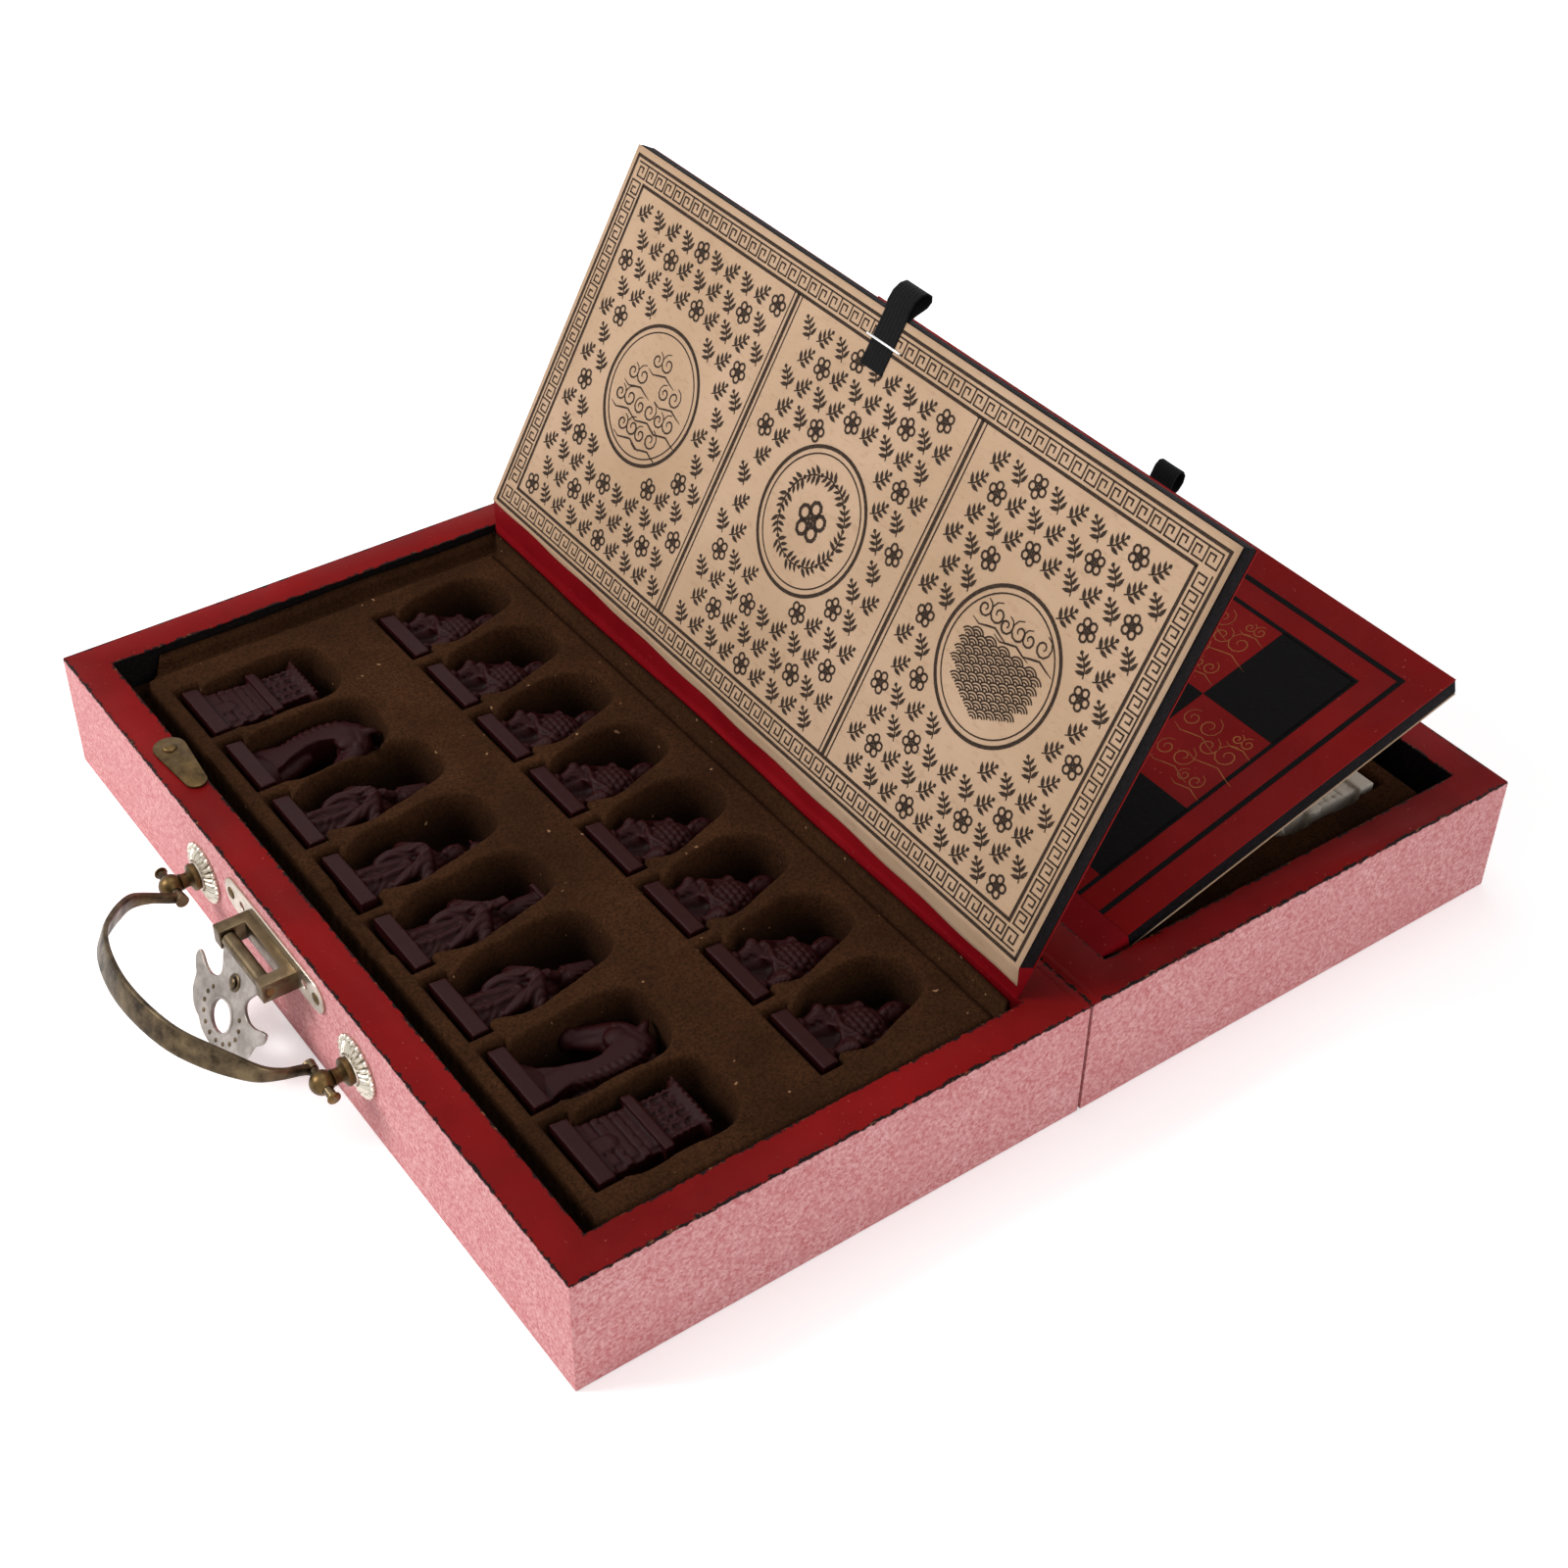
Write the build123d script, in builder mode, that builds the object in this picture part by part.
"""A folding chess box: two shallow trays hinged along one long edge.

The box lies open. Each tray holds a flocked insert with sixteen chess pieces, and a half of the
playing board closes over it like a lid on a soft flap. The left tray carries the handle, the hasp
and a turn button; the right tray carries the staple that the hasp's flap drops over.

Millimetres, +Z up, +X from the left tray to the right one, +Y along the seam, away from the
viewer. The origin is the middle of the left tray's underside. The solids are drawn as the box
lies open, with both board halves lifted.
"""

import os
from math import atan, cos, degrees, pi, radians, sin, sqrt

from build123d import *

# ---- driving dimensions ---------------------------------------------------------------------
TRAY_LENGTH = 260.0  # along the seam
TRAY_WIDTH = 141.5
TRAY_HEIGHT = 35.4
SEAM_GAP = 1.0
WALL = 10.0  # the three outer walls of a tray
SEAM_WALL = 12.1  # the wall beside the seam
BOTTOM = 3.0
COVER = 0.5  # leatherette and covering paper

INSERT_TOP = 29.4  # top of the flocked plateau
INSERT_FLANGE = 24.0  # lower rim round the plateau
POCKET_PITCH = 27.2
POCKET_ROWS = 8

FOLD_LIFT = 0.9  # the fold's axis above the rims, so that a turn button fits between them
BOARD_LENGTH = 237.0
BOARD_CORE = 4.7
BOARD_PRINT = 0.4
BOARD_LINING = 0.3
BOARD_TOP = TRAY_HEIGHT - 0.1  # the closed board's top face
FLAP_LENGTH = 8.3  # soft hinge between the seam wall and the core
CORE_WIDTH = 109.6
FLAP_THIN = 0.8
LEFT_OPEN = 119.0  # how far each board half stands open, degrees
RIGHT_OPEN = 16.3

HARDWARE_Y = 5.0  # the hardware is fitted a little past the middle
POST_SPACING = 82.0
POST_Z = 19.5
EYE_OUT = 9.5  # the bail's axis from the tray's side
EYE_RADIUS = 3.1
EYE_HOLE = 1.35
BAIL_REACH = 32.0
BAIL_ANGLE = 24.0  # above horizontal
STRAP = 1.8
STRAP_WIDE = 5.4
STRAP_NARROW = 2.4

HASP_OUT = 7.9  # the hasp pin's axis from the tray's side
HASP_Z = 25.3
HASP_ANGLE = 60.0  # the flap hangs this far below horizontal
FLAP_PLATE = 1.0
PLATE = 0.8
OVAL_AT = 16.4  # middle of the flap's eye, down from its pin

# ---- places that follow from them -----------------------------------------------------------
HALF_L = TRAY_LENGTH / 2
HALF_W = TRAY_WIDTH / 2
SEAM_X = HALF_W + SEAM_GAP / 2
RIGHT_X = 2 * SEAM_X  # middle of the right tray
CAVITY_L = TRAY_LENGTH - 2 * WALL
WALL_TOP = TRAY_HEIGHT - COVER
FOLD_Z = TRAY_HEIGHT + FOLD_LIFT
HINGE_X = SEAM_X - SEAM_GAP / 2 - SEAM_WALL  # where the left board's flap leaves the wall
CATCH_Z = 2 * FOLD_Z - HASP_Z - OVAL_AT  # the loop meets the flap's eye on the closed box
PIECE_X = (-48.2, 12.2)  # outer faces of the bases in the two columns
ROWS = [POCKET_PITCH * (i - (POCKET_ROWS - 1) / 2) for i in range(POCKET_ROWS)]
SIDE_X = -HALF_W
PIECE_TOP = INSERT_TOP - 0.4
BASE_TALL = 15.5  # the plinths stand on edge
POCKET_FLOOR = PIECE_TOP - BASE_TALL
CATCH_X = RIGHT_X + HALF_W

os.makedirs("parts", exist_ok=True)


def save(piece, label):
    """Label a finished piece and write its file."""
    piece.label = label
    export_step(piece, f"parts/{label}.step")


def unfold(shape):
    """The right tray's copy of a shape of the left tray: the same thing the other way round."""
    return shape.mirror(Plane.YZ.offset(SEAM_X))


# ---- trays ----------------------------------------------------------------------------------
def wall(x_low, x_high, y_low, y_high):
    """One wooden wall of a tray, under the rim's covering."""
    with BuildPart() as board:
        with BuildSketch():
            with Locations(((x_low + x_high) / 2, (y_low + y_high) / 2)):
                Rectangle(x_high - x_low, y_high - y_low)
        extrude(amount=WALL_TOP)
    return board.part


OUTER_IN = -HALF_W + WALL
SKIN_X = -HALF_W + COVER
SKIN_Y = HALF_L - COVER
SEAM_FACE = HALF_W - COVER

tray_walls = {
    "outer_wall": wall(SKIN_X, OUTER_IN, -SKIN_Y, SKIN_Y),
    "seam_wall": wall(HINGE_X, SEAM_FACE, -SKIN_Y, SKIN_Y),
    "near_wall": wall(OUTER_IN, HINGE_X, -SKIN_Y, -CAVITY_L / 2),
    "far_wall": wall(OUTER_IN, HINGE_X, CAVITY_L / 2, SKIN_Y),
}

CAVITY_W = HINGE_X - OUTER_IN
CAVITY_X = (HINGE_X + OUTER_IN) / 2

with BuildPart() as bottom:
    with BuildSketch():
        with Locations((CAVITY_X, 0)):
            Rectangle(CAVITY_W, CAVITY_L)
    extrude(amount=BOTTOM)

with BuildPart() as side_cover:
    with BuildSketch():
        Rectangle(TRAY_WIDTH, TRAY_LENGTH)
        Rectangle(TRAY_WIDTH - 2 * COVER, TRAY_LENGTH - 2 * COVER, mode=Mode.SUBTRACT)
    extrude(amount=WALL_TOP)

with BuildPart() as rim_cover:
    with BuildSketch(Plane.XY.offset(WALL_TOP)):
        with Locations((SEAM_GAP / 4, 0)):
            Rectangle(TRAY_WIDTH + SEAM_GAP / 2, TRAY_LENGTH)
        with Locations((CAVITY_X, 0)):
            Rectangle(CAVITY_W, CAVITY_L, mode=Mode.SUBTRACT)
    extrude(amount=COVER)

# ---- flocked insert -------------------------------------------------------------------------
PLATEAU_INSET = 6.0
PLATEAU_OUTER_INSET = 8.0
PLATEAU_SEAM_INSET = 2.0
PLATEAU_RADIUS = 8.0
PLATEAU_SHOULDER = 2.4
INSERT_GAP = 0.4
SLOT_DEEP = 5.4
SLOT_WIDE = 23.2
SLOT_GAP = 0.8  # behind a base
POCKET_RADIUS = 2.8

# Outlines of the pockets: distance from the base's outer face, near side and far side. The far
# side is wider, for a fingertip.
FIGURE_POCKET = ((1.0, -9.6, 9.0), (16.0, -10.4, 13.4), (30.0, -7.6, 14.2), (44.5, -3.0, 7.0))
PAWN_POCKET = ((1.0, -10.4, 10.4), (20.0, -9.0, 14.4), (36.8, -2.4, 6.6))
SHORT_POCKET = ((1.0, -9.8, 9.0), (16.0, -11.8, 12.8), (31.0, -11.8, 14.2), (40.0, -6.0, 9.0))
OUTER_POCKETS = (SHORT_POCKET,) * 2 + (FIGURE_POCKET,) * 4 + (SHORT_POCKET,) * 2
INNER_POCKETS = (PAWN_POCKET,) * POCKET_ROWS


def pocket_outline(stations, base_x, row_y):
    """Points round a pocket, along its near side and back along its far side."""
    near = [(base_x + x, row_y + low) for x, low, high in stations]
    far = [(base_x + x, row_y + high) for x, low, high in reversed(stations)]
    return near + far


with BuildPart() as insert:
    with BuildSketch(Plane.XY.offset(BOTTOM)):
        with Locations((CAVITY_X, 0)):
            Rectangle(CAVITY_W - 2 * INSERT_GAP, CAVITY_L - 2 * INSERT_GAP)
    extrude(amount=INSERT_FLANGE - BOTTOM)
    with BuildSketch(Plane.XY.offset(INSERT_FLANGE)):
        with Locations((CAVITY_X + (PLATEAU_OUTER_INSET - PLATEAU_SEAM_INSET) / 2, 0)):
            RectangleRounded(
                CAVITY_W - PLATEAU_OUTER_INSET - PLATEAU_SEAM_INSET,
                CAVITY_L - 2 * PLATEAU_INSET,
                PLATEAU_RADIUS,
            )
    extrude(amount=INSERT_TOP - INSERT_FLANGE)
    chamfer(insert.faces().sort_by(Axis.Z)[-1].edges(), PLATEAU_SHOULDER)
    with BuildSketch(Plane.XY.offset(INSERT_TOP)):
        for base_x, column in zip(PIECE_X, (OUTER_POCKETS, INNER_POCKETS)):
            for row_y, stations in zip(ROWS, column):
                outline = pocket_outline(stations, base_x, row_y)
                with BuildLine():
                    FilletPolyline(*outline, radius=POCKET_RADIUS, close=True)
                make_face()
            with Locations([(base_x + SLOT_DEEP / 2 - SLOT_GAP, y) for y in ROWS]):
                Rectangle(SLOT_DEEP, SLOT_WIDE)
    extrude(amount=POCKET_FLOOR - INSERT_TOP, mode=Mode.SUBTRACT)

tray = dict(tray_walls)
tray["bottom_board"] = bottom.part
tray["side_cover"] = side_cover.part
tray["rim_cover"] = rim_cover.part
tray["insert"] = insert.part
for name, solid in tray.items():
    save(solid, f"left_{name}")
    save(unfold(solid), f"right_{name}")

# ---- chess pieces ---------------------------------------------------------------------------
BASE_THICK = 3.3
BASE_WIDE = 21.0
PIECE_Z = PIECE_TOP - BASE_TALL / 2
CORNER = 2 - sqrt(2)  # what a figure's sections lose at their corners, as a share of half their depth

# The pieces are drawn standing on XY and laid down in their pockets afterwards, +Y up.


def octagon(half_wide, half_deep):
    """Corner points of an upright figure's section."""
    cut = CORNER * half_deep
    return [
        (half_wide, half_deep - cut),
        (half_wide - cut, half_deep),
        (cut - half_wide, half_deep),
        (-half_wide, half_deep - cut),
        (-half_wide, cut - half_deep),
        (cut - half_wide, -half_deep),
        (half_wide - cut, -half_deep),
        (half_wide, cut - half_deep),
    ]


def tapered(outline, low, high, shrink):
    """A length between two heights, from the outline of its larger end.

    Its other end is smaller all round by shrink, or, where shrink is below zero, its lower one is.
    """
    with BuildPart() as length:
        with BuildSketch():
            with BuildLine():
                Polyline(*outline, close=True)
            make_face()
        extrude(amount=high - low, taper=degrees(atan(abs(shrink) / (high - low))))
    if shrink < 0:
        return length.part.mirror(Plane.XY).moved(Location((0, 0, high)))
    return length.part.moved(Location((0, 0, low)))


def plinth():
    """The slab that every piece stands on."""
    with BuildPart() as slab:
        with BuildSketch():
            Rectangle(BASE_WIDE, BASE_TALL)
        extrude(amount=BASE_THICK)
    return slab.part


def figure(stations, slimness):
    """A robed figure: tapered lengths between pairs of a height and a half width."""
    with BuildPart() as body:
        add(plinth())
        for (low, half_low), (high, half_high) in zip(stations, stations[1:]):
            widest = max(half_low, half_high)
            add(tapered(octagon(widest, widest - slimness), low, high, half_low - half_high))
    return body.part


# hem, robe, elbows, shoulders, neck, brow and crown: height and half width
KING = ((3.3, 8.0), (12, 7.0), (22, 8.0), (27, 7.6), (30, 3.6), (34, 4.6), (38.5, 4.2), (41.5, 3.0))
QUEEN = ((3.3, 8.2), (11, 6.4), (20, 7.2), (25, 6.6), (28, 3.4), (32, 4.2), (36.5, 4.6), (40, 2.8))
BISHOP = ((3.3, 7.4), (8, 5.6), (19, 7.6), (25, 6.8), (28.5, 3.4), (32, 4.2), (36.5, 4.2), (39.5, 2.8))
PAWN = ((3.3, 8.8), (8, 9.2), (15, 7.8), (22, 6.8), (25, 3.2), (28, 3.8), (31.5, 3.6), (34, 2.6))

ROOK_LAYERS = (  # low, high, half width there and there, depth
    (3.3, 18.0, 8.6, 7.2, 11.2),
    (18.0, 20.4, 9.4, 9.4, 13.6),
    (20.4, 30.0, 6.6, 6.0, 10.0),
    (30.0, 33.0, 7.6, 9.8, 13.2),
)


def rook():
    """A gate tower: a battered wall, a cornice, an upper storey and a flared roof slab."""
    with BuildPart() as tower:
        add(plinth())
        for low, high, half_low, half_high, deep in ROOK_LAYERS:
            front = ((-half_low, low), (half_low, low), (half_high, high), (-half_high, high))
            with BuildSketch(Plane.XZ):
                with BuildLine():
                    Polyline(*front, close=True)
                make_face()
            extrude(amount=deep / 2, both=True)
    return tower.part


# The horse's outline seen as it lies, height above the plinth's foot last: neck, poll and ears,
# then forehead, muzzle, jaw and breast.
HORSE_NECK = ((8.4, 3.3), (7.6, 12.0), (9.2, 22.0), (8.2, 29.0), (5.2, 34.6), (2.2, 36.4), (1.2, 33.0))
HORSE_HEAD = ((-4.6, 33.4), (-9.4, 30.4), (-10.2, 26.6), (-7.0, 24.0), (-1.6, 26.0))
HORSE_BREAST = ((-2.0, 20.0), (-6.4, 10.0), (-7.6, 3.3))
HORSE_THICK = 10.4
HORSE_CHAMFER = 1.6


def knight():
    """A horse's head and neck, cut from the slab of its profile."""
    with BuildPart() as horse:
        with BuildSketch(Plane.XZ):
            with BuildLine():
                Polyline(*HORSE_NECK, *HORSE_HEAD, *HORSE_BREAST, close=True)
            make_face()
        extrude(amount=HORSE_THICK / 2, both=True)
        flats = horse.faces().filter_by(Axis.Y)
        chamfer(flats.edges(), HORSE_CHAMFER)
        add(plinth())
    return horse.part


def group(column, placed):
    """One node of pieces laid down in a column, from pairs of a row and a piece."""
    with BuildPart() as pieces:
        for row, shape in placed:
            foot = (PIECE_X[column], ROWS[row], PIECE_Z)
            add(shape.moved(Plane(origin=foot, x_dir=(0, 1, 0), z_dir=(1, 0, 0)).location))
    return pieces.part


tower, horse = rook(), knight()
bishop, pawn = figure(BISHOP, 1.0), figure(PAWN, 1.6)
chess = {
    "rooks": group(0, ((0, tower), (7, tower))),
    "knights": group(0, ((1, horse.mirror(Plane.YZ)), (6, horse))),
    "bishops": group(0, ((2, bishop), (5, bishop))),
    "king": group(0, ((3, figure(KING, 0.6)),)),
    "queen": group(0, ((4, figure(QUEEN, 0.8)),)),
    "pawns": group(1, [(row, pawn) for row in range(POCKET_ROWS)]),
}
for name, solid in chess.items():
    save(solid, f"dark_{name}")
    save(unfold(solid), f"ivory_{name}")


# ---- board halves ---------------------------------------------------------------------------
def board_plane(open_angle):
    """The plane across a lifted half: X along it from the wall to its free edge, Y its top."""
    angle = radians(180 - open_angle)
    hinge = (HINGE_X, 0, TRAY_HEIGHT)
    return Plane(origin=hinge, x_dir=(cos(angle), 0, sin(angle)), z_dir=(0, 1, 0))


FLAP_GAP = 0.3  # between the flap and the seam wall's rim
TAB_Y = 3.0
TAB_WIDE = 9.0
TAB_THICK = 0.9  # two layers of ribbon
TAB_ON_PAPER = 13.0
TAB_BEYOND = 10.0
STAPLE_IN = 7.5
STAPLE_CROWN = 12.7
STAPLE_WIRE = 0.7
STAPLE_FLAT = 0.5
STAPLE_SHIFT = 2.0  # how far past the ribbon's middle the staple sits


def board_half(open_angle):
    """Flap, core, print, lining, pull tab and staple of one half, lifted by open_angle.

    The half is drawn for the left tray. In its plane, X runs from the wall to the free edge and
    Y is below zero under the top face.
    """
    half = board_plane(open_angle)
    top = BOARD_TOP - TRAY_HEIGHT
    core_top = top - BOARD_PRINT
    core_low = core_top - BOARD_CORE
    end = FLAP_LENGTH + CORE_WIDTH

    def slab(points, y_middle, length):
        with BuildPart() as piece:
            with BuildSketch(half.offset(y_middle)):
                with BuildLine():
                    Polyline(*points, close=True)
                make_face()
            extrude(amount=length / 2, both=True)
        return piece.part

    def strip(x_low, x_high, y_low, y_high):
        return [(x_low, y_low), (x_high, y_low), (x_high, y_high), (x_low, y_high)]

    wedge = [
        (FLAP_GAP, top),
        (FLAP_GAP, top - FLAP_THIN),
        (FLAP_LENGTH, core_low),
        (FLAP_LENGTH, top),
    ]
    under = core_low - BOARD_LINING
    tab_low = under - TAB_THICK
    tab = [
        (end - TAB_ON_PAPER, under),
        (end - TAB_ON_PAPER, tab_low),
        (end + 1.0, tab_low),
        (end + TAB_BEYOND - 1.0, under),
        (end + TAB_BEYOND, core_low + 2.0),
        (end + TAB_BEYOND - 1.2, core_low + 2.6),
        (end + 0.6, under),
    ]
    staple_low = tab_low - STAPLE_FLAT
    staple_x = end - STAPLE_IN
    return {
        "board_flap": slab(wedge, 0, BOARD_LENGTH),
        "board_core": slab(strip(FLAP_LENGTH, end, core_low, core_top), 0, BOARD_LENGTH),
        "board_print": slab(strip(FLAP_LENGTH, end, core_top, top), 0, BOARD_LENGTH),
        "board_lining": slab(strip(FLAP_LENGTH, end, under, core_low), 0, BOARD_LENGTH),
        "pull_tab": slab(tab, TAB_Y, TAB_WIDE),
        "tab_staple": slab(
            strip(staple_x - STAPLE_WIRE / 2, staple_x + STAPLE_WIRE / 2, staple_low, tab_low),
            TAB_Y + STAPLE_SHIFT,
            STAPLE_CROWN,
        ),
    }


for name, solid in board_half(LEFT_OPEN).items():
    save(solid, f"left_{name}")
for name, solid in board_half(RIGHT_OPEN).items():
    save(unfold(solid), f"right_{name}")


# ---- handle ---------------------------------------------------------------------------------
def side_plane(y, z, out=0.0):
    """A plane on the left tray's side, facing out: its X runs along +Y and its Y is up."""
    return Plane(origin=(SIDE_X - out, y, z), x_dir=(0, -1, 0), z_dir=(-1, 0, 0))


def turned(stations, sides):
    """A faceted turning on XY: tapered lengths between pairs of a height and a radius."""
    corners = [(cos(2 * pi * i / sides), sin(2 * pi * i / sides)) for i in range(sides)]
    with BuildPart() as turning:
        for (low, r_low), (high, r_high) in zip(stations, stations[1:]):
            widest = max(r_low, r_high)
            outline = [(widest * x, widest * y) for x, y in corners]
            add(tapered(outline, low, high, (r_low - r_high) * cos(pi / sides)))
    return turning.part


def placed_on(plane, shape, places):
    """One node of copies of a shape, standing at places of a plane."""
    with BuildPart() as copies:
        for x, y in places:
            add(shape.moved(plane.location * Location((x, y, 0))))
    return copies.part


post_places = ((-POST_SPACING / 2, 0), (POST_SPACING / 2, 0))
ROSETTE_FLUTES = 18
ROSETTE_RADIUS = 8.5
ROSETTE_EDGE = 1.1
ROSETTE_RISE = 2.6
ROSETTE_DOME = ((ROSETTE_EDGE, 7.5), (ROSETTE_RISE, 4.0))  # height and radius
FLUTE = 0.9  # a groove's radius as a share of its ridges'


def star(radius):
    """Points of a fluted edge."""
    step = pi / ROSETTE_FLUTES
    radii = (radius, FLUTE * radius) * ROSETTE_FLUTES
    return [(r * cos(i * step), r * sin(i * step)) for i, r in enumerate(radii)]


with BuildPart() as rosette:
    with BuildSketch():
        with BuildLine():
            Polyline(*star(ROSETTE_RADIUS), close=True)
        make_face()
    extrude(amount=ROSETTE_EDGE)
    add(turned(ROSETTE_DOME, ROSETTE_FLUTES))
save(placed_on(side_plane(HARDWARE_Y, POST_Z), rosette.part, post_places), "handle_rosettes")

POST_SIDES = 10
EYE_SIDES = 12
# distance from the rosette's top, and radius there: flange, neck, then the eye's ball
POST_PROFILE = ((0.0, 2.6), (0.6, 3.6), (1.8, 3.6), (2.2, 1.9), (4.0, 1.9))


def ball_profile():
    """Stations of the eye's ball, from its neck to its crown."""
    middle = EYE_OUT - ROSETTE_RISE
    angles = [radians(a) for a in (-52, -25, 0, 25, 52, 72)]
    return [(middle + EYE_RADIUS * sin(a), EYE_RADIUS * cos(a)) for a in angles]


post_foot = side_plane(HARDWARE_Y, POST_Z, ROSETTE_RISE)
with BuildPart() as posts:
    add(placed_on(post_foot, turned((*POST_PROFILE, *ball_profile()), POST_SIDES), post_places))
    with BuildSketch(Plane.XZ):
        with Locations((SIDE_X - EYE_OUT, POST_Z)):
            RegularPolygon(EYE_HOLE, EYE_SIDES, major_radius=False)
    extrude(amount=TRAY_LENGTH / 4, both=True, mode=Mode.SUBTRACT)
save(posts.part, "handle_posts")

BAIL_PIN = EYE_HOLE - 0.08
BAIL_INSIDE = 5.2  # where the strap starts, inward of a post's middle
BAIL_TAIL = 6.0
bail_angle = radians(BAIL_ANGLE)
BAIL_AXIS = (SIDE_X - EYE_OUT, HARDWARE_Y, POST_Z)
BAIL_OUT = (-cos(bail_angle), 0, sin(bail_angle))
# Across the bail: X outward from its axis, Y along the axis.
BAIL_FACE = Plane(origin=BAIL_AXIS, x_dir=BAIL_OUT, z_dir=(-sin(bail_angle), 0, -cos(bail_angle)))
# The bail from its end: X outward, Y across the strap's width.
BAIL_SIDE = Plane(origin=BAIL_AXIS, x_dir=BAIL_OUT, z_dir=(0, 1, 0))
HALF_BAIL = POST_SPACING / 2 - BAIL_INSIDE
# One half of the strap's middle line: outward, and along the axis.
BAIL_LINE = ((0, HALF_BAIL), (13.0, HALF_BAIL + 1.0), (BAIL_REACH - 3.0, HALF_BAIL - 11.0))
BAIL_RADII = (8.0, 13.0, 60.0, 13.0, 8.0)
BAIL_WIDTHS = ((-3.0, STRAP_NARROW), (6.0, STRAP_NARROW), (22.0, STRAP_WIDE), (40.0, STRAP_WIDE))
RIVET_HEAD = 0.5  # how far a tail's rivet head stands past it all round
RIVET_THICK = 0.9

with BuildPart() as bail:
    with BuildSketch(BAIL_FACE):
        with BuildLine() as strap_line:
            far_half = [(out, -along) for out, along in BAIL_LINE]
            near_half = list(reversed(BAIL_LINE))
            FilletPolyline(*far_half, (BAIL_REACH, 0), *near_half, radius=BAIL_RADII)
        trace(line_width=STRAP)
    extrude(amount=STRAP_WIDE / 2, both=True)
    with BuildSketch(BAIL_SIDE):
        with BuildLine():
            low_edge = [(out, -wide / 2) for out, wide in BAIL_WIDTHS]
            high_edge = [(out, wide / 2) for out, wide in reversed(BAIL_WIDTHS)]
            Polyline(*low_edge, *high_edge, close=True)
        make_face()
    extrude(amount=POST_SPACING, both=True, mode=Mode.INTERSECT)
    for side in (-1, 1):
        start = side * (HALF_BAIL - STRAP / 2)
        length = side * (BAIL_INSIDE + BAIL_TAIL)
        with BuildSketch(BAIL_SIDE.offset(start)):
            Circle(BAIL_PIN)
        extrude(amount=length)
        with BuildSketch(BAIL_SIDE.offset(start + length)):
            RegularPolygon(BAIL_PIN + RIVET_HEAD, EYE_SIDES)
        extrude(amount=side * RIVET_THICK)
save(bail.part, "handle_bail")

# ---- hasp -----------------------------------------------------------------------------------
HASP_PLATE_LONG = 52.0
HASP_PLATE_TALL = 9.6
HASP_PLATE_Z = 26.6
HASP_HALF = 13.2  # half the bracket's width
LUG_WIDE = 3.6
LUG_TALL = 5.4
LUG_BEYOND = 2.2  # past the pin's axis
BACK_BAR = 2.4
ROLL_RADIUS = 2.0
ROLL_GAP = 0.2  # between the flap's roll and a lug
PIN_RADIUS = 1.1
PIN_GAP = 0.1
NAIL_SPACING = 45.0

with BuildPart() as hasp_plate:
    with BuildSketch(side_plane(HARDWARE_Y, HASP_PLATE_Z)):
        SlotOverall(HASP_PLATE_LONG, HASP_PLATE_TALL)
    extrude(amount=PLATE)
save(hasp_plate.part, "hasp_plate")

NAIL_SIDES = 8
NAIL = ((0.0, 1.5), (0.5, 1.2), (0.9, 0.5))  # height and radius
nail = turned(NAIL, NAIL_SIDES)
hasp_nail_places = ((-NAIL_SPACING / 2, 0), (NAIL_SPACING / 2, 0))
save(placed_on(side_plane(HARDWARE_Y, HASP_PLATE_Z, PLATE), nail, hasp_nail_places), "hasp_nails")

LUG_REACH = HASP_OUT + LUG_BEYOND
with BuildPart() as bracket:
    with BuildSketch(Plane.XY.offset(HASP_Z - LUG_TALL / 2)):
        with BuildLine():
            Polyline(
                (SIDE_X - PLATE, HARDWARE_Y - HASP_HALF),
                (SIDE_X - LUG_REACH, HARDWARE_Y - HASP_HALF),
                (SIDE_X - LUG_REACH, HARDWARE_Y - HASP_HALF + LUG_WIDE),
                (SIDE_X - PLATE - BACK_BAR, HARDWARE_Y - HASP_HALF + LUG_WIDE),
                (SIDE_X - PLATE - BACK_BAR, HARDWARE_Y + HASP_HALF - LUG_WIDE),
                (SIDE_X - LUG_REACH, HARDWARE_Y + HASP_HALF - LUG_WIDE),
                (SIDE_X - LUG_REACH, HARDWARE_Y + HASP_HALF),
                (SIDE_X - PLATE, HARDWARE_Y + HASP_HALF),
                close=True,
            )
        make_face()
    extrude(amount=LUG_TALL)
    with BuildSketch(Plane.XZ.offset(-HARDWARE_Y)):
        with Locations((SIDE_X - HASP_OUT, HASP_Z)):
            Circle(PIN_RADIUS)
    extrude(amount=HASP_HALF, both=True, mode=Mode.SUBTRACT)
save(bracket.part, "hasp_bracket")

with BuildPart() as hasp_pin:
    with BuildSketch(Plane.XZ.offset(-HARDWARE_Y)):
        with Locations((SIDE_X - HASP_OUT, HASP_Z)):
            Circle(PIN_RADIUS)
    extrude(amount=HASP_HALF, both=True)
save(hasp_pin.part, "hasp_pin")

hasp_angle = radians(HASP_ANGLE)
# Across the hasp's flap: X down the flap from its pin, Y along the pin.
HASP_FACE = Plane(
    origin=(SIDE_X - HASP_OUT, HARDWARE_Y, HASP_Z),
    x_dir=(-cos(hasp_angle), 0, -sin(hasp_angle)),
    z_dir=(sin(hasp_angle), 0, -cos(hasp_angle)),
)
FLAP_SIDE = (  # from the roll to the tip: distance from the pin, half width
    (1.0, 9.2),
    (4.6, 8.6),
    (7.4, 6.6),
    (9.6, 7.6),
    (10.8, 12.0),
    (9.0, 18.2),
    (13.4, 17.6),
    (16.0, 15.2),
    (18.0, 14.6),
    (21.4, 12.2),
    (24.0, 6.4),
    (24.6, 2.0),
)
OVAL_LONG = 9.2
OVAL_SHORT = 8.0

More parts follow.
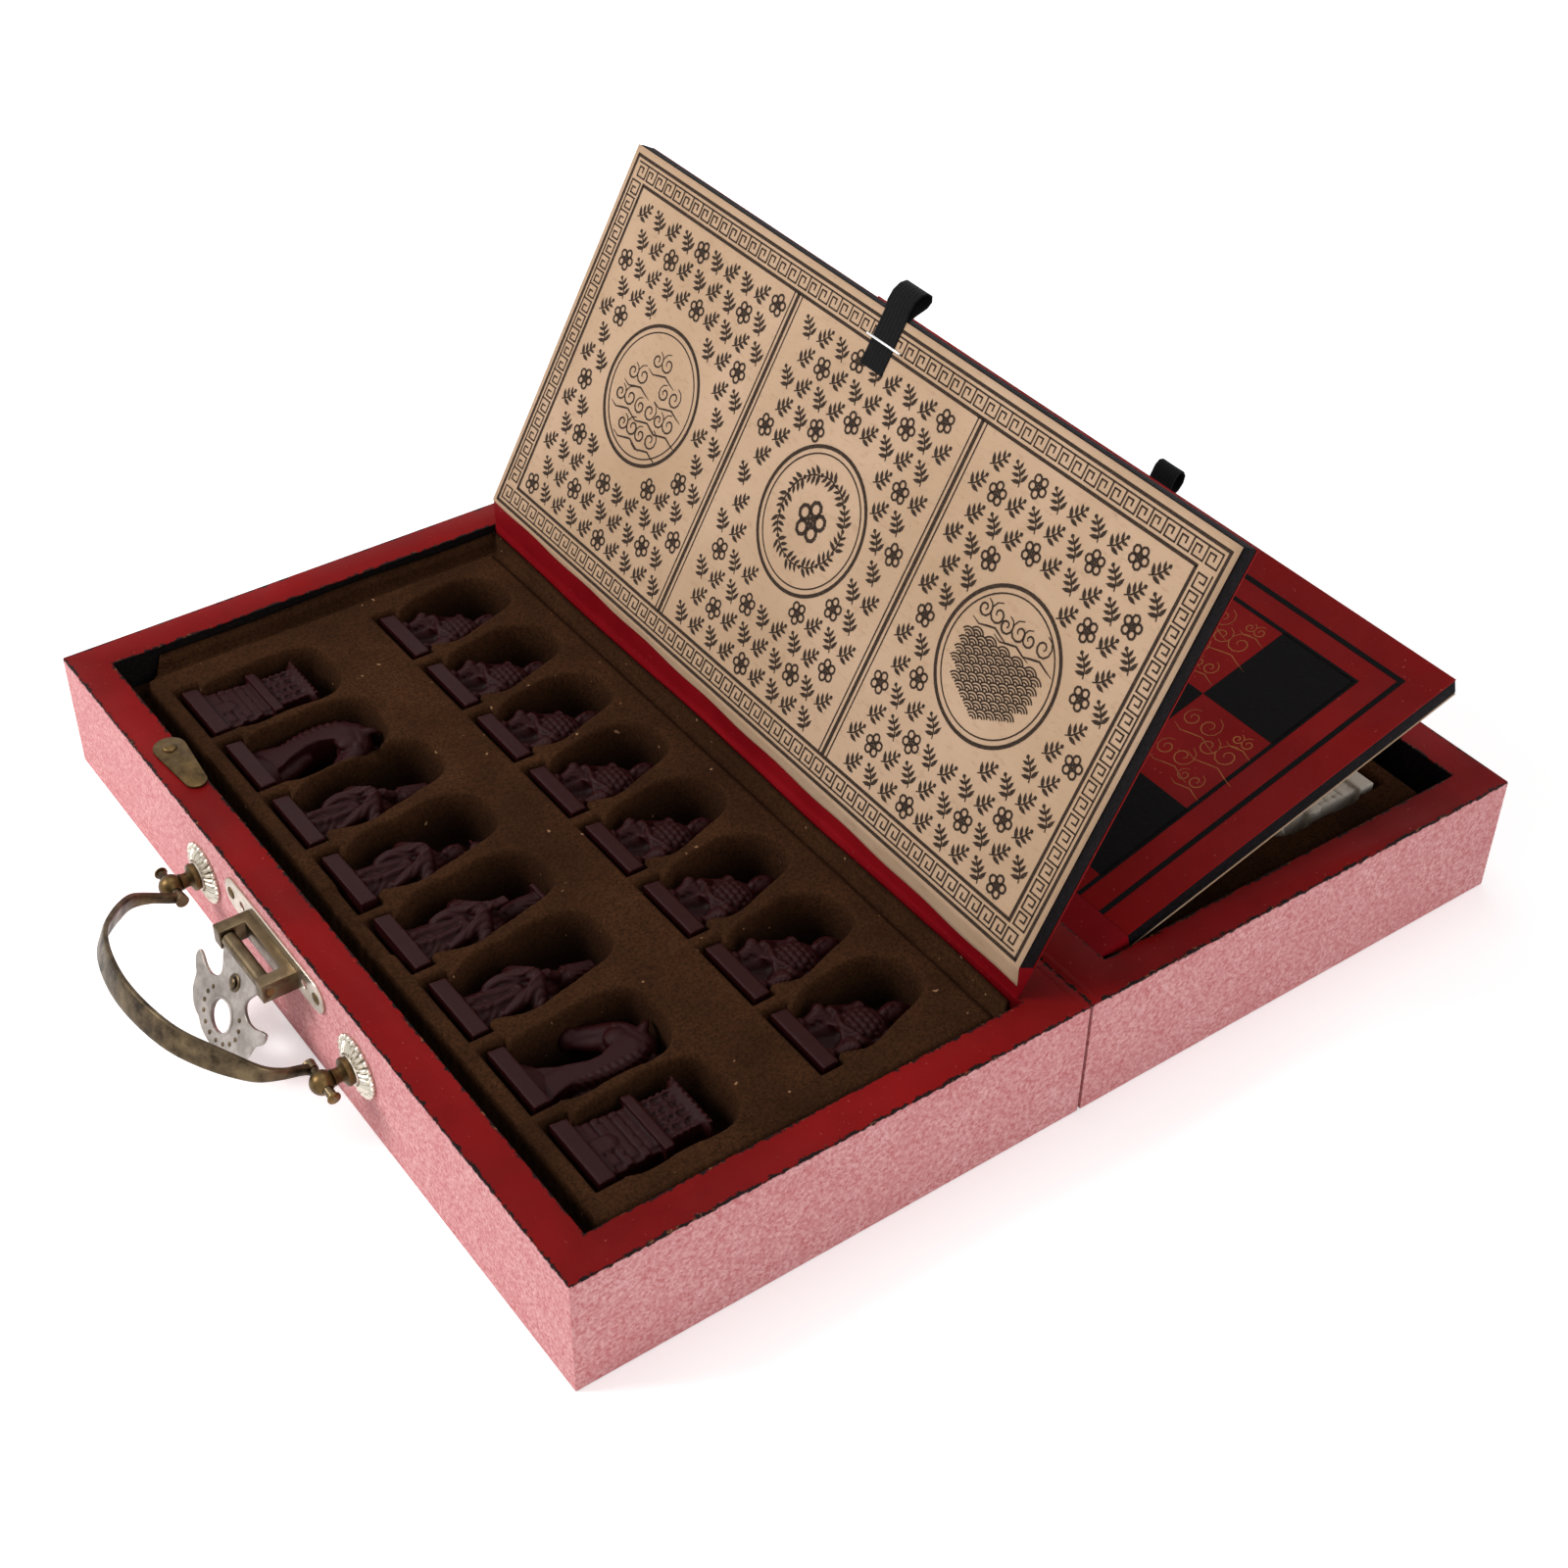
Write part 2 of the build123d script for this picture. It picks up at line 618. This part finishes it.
with BuildPart() as hasp_flap:
    with BuildSketch(HASP_FACE.offset(-FLAP_PLATE / 2)):
        with BuildLine():
            far_edge = [(down, half) for down, half in FLAP_SIDE]
            near_edge = [(down, -half) for down, half in reversed(FLAP_SIDE)]
            Polyline(*far_edge, *near_edge, close=True)
        make_face()
        with Locations((OVAL_AT, 0)):
            Ellipse(OVAL_SHORT / 2, OVAL_LONG / 2, mode=Mode.SUBTRACT)
    extrude(amount=FLAP_PLATE)
    with BuildSketch(Plane.XZ.offset(-HARDWARE_Y)):
        with Locations((SIDE_X - HASP_OUT, HASP_Z)):
            Circle(ROLL_RADIUS)
    extrude(amount=HASP_HALF - LUG_WIDE - ROLL_GAP, both=True)
    with BuildSketch(Plane.XZ.offset(-HARDWARE_Y)):
        with Locations((SIDE_X - HASP_OUT, HASP_Z)):
            Circle(PIN_RADIUS + PIN_GAP)
    extrude(amount=HASP_HALF, both=True, mode=Mode.SUBTRACT)
save(hasp_flap.part, "hasp_flap")

STUD_AT = 8.6
STUD = ((0.0, 1.5), (1.0, 1.3), (1.6, 0.6))
# The flap's upper face, turned so that a stud on it stands out.
STUD_FACE = Plane(
    origin=HASP_FACE.offset(-FLAP_PLATE / 2).origin,
    x_dir=HASP_FACE.x_dir,
    z_dir=-HASP_FACE.z_dir,
)
save(placed_on(STUD_FACE, turned(STUD, NAIL_SIDES), ((STUD_AT, 0),)), "hasp_stud")

# ---- turn button ----------------------------------------------------------------------------
BUTTON_X = -63.7
BUTTON_Y = 77.0
BUTTON_WIDE = 4.3  # radius at the rivet
BUTTON_END = 2.9  # radius at the far end
BUTTON_LONG = 15.6  # between the two arcs' middles
BUTTON_THICK = 0.8
BUTTON_GAP = 0.1
BUTTON_HOLE = 0.9

with BuildPart() as button:
    with BuildSketch(Plane.XY.offset(TRAY_HEIGHT + BUTTON_GAP)):
        with Locations((BUTTON_X, BUTTON_Y)):
            Circle(BUTTON_WIDE)
        with Locations((BUTTON_X, BUTTON_Y - BUTTON_LONG)):
            Circle(BUTTON_END)
        make_hull()
        with Locations((BUTTON_X, BUTTON_Y)):
            Circle(BUTTON_HOLE, mode=Mode.SUBTRACT)
    extrude(amount=BUTTON_THICK - BUTTON_GAP)
save(button.part, "turn_button")

RIVET = ((-BUTTON_THICK, 0.85), (0.0, 0.85))
RIVET_TOP = ((0.0, 1.7), (0.4, 1.4), (0.7, 0.6))
with BuildPart() as rivet:
    add(turned(RIVET, NAIL_SIDES))
    add(turned(RIVET_TOP, NAIL_SIDES))
rivet_place = Location((BUTTON_X, BUTTON_Y, TRAY_HEIGHT + BUTTON_THICK))
save(rivet.part.moved(rivet_place), "turn_button_rivet")

# ---- catch on the right tray ----------------------------------------------------------------
CATCH_LONG = 26.0
CATCH_TALL = 11.0
CATCH_NAIL_IN = 3.4
CATCH_DROP = 3.4  # the plate's middle below the loop's
CATCH_CORNER = 2.5
CATCH_PLANE = Plane(
    origin=(CATCH_X, HARDWARE_Y, CATCH_Z - CATCH_DROP), x_dir=(0, 1, 0), z_dir=(1, 0, 0)
)
LOOP_WIDE = 7.0
LOOP_CORNER = 3.2
LOOP_REACH = 11.5
LOOP_WIRE = 2.0

with BuildPart() as catch_plate:
    with BuildSketch(CATCH_PLANE):
        RectangleRounded(CATCH_LONG, CATCH_TALL, CATCH_CORNER)
    extrude(amount=PLATE)
save(catch_plate.part, "catch_plate")

catch_nail_places = ((CATCH_NAIL_IN - CATCH_LONG / 2, 0), (CATCH_LONG / 2 - CATCH_NAIL_IN, 0))
save(placed_on(CATCH_PLANE.offset(PLATE), nail, catch_nail_places), "catch_nails")

with BuildPart() as loop:
    with BuildSketch(Plane.XY.offset(CATCH_Z - LOOP_WIRE / 2)):
        with Locations((CATCH_X + PLATE + (LOOP_REACH - PLATE) / 2, HARDWARE_Y)):
            Rectangle(LOOP_REACH - PLATE, LOOP_WIDE)
        fillet(vertices().group_by(Axis.X)[-1], LOOP_CORNER)
        with Locations((CATCH_X + PLATE + (LOOP_REACH - PLATE - LOOP_WIRE) / 2, HARDWARE_Y)):
            Rectangle(LOOP_REACH - PLATE - LOOP_WIRE, LOOP_WIDE - 2 * LOOP_WIRE, mode=Mode.SUBTRACT)
    extrude(amount=LOOP_WIRE)
save(loop.part, "catch_loop")
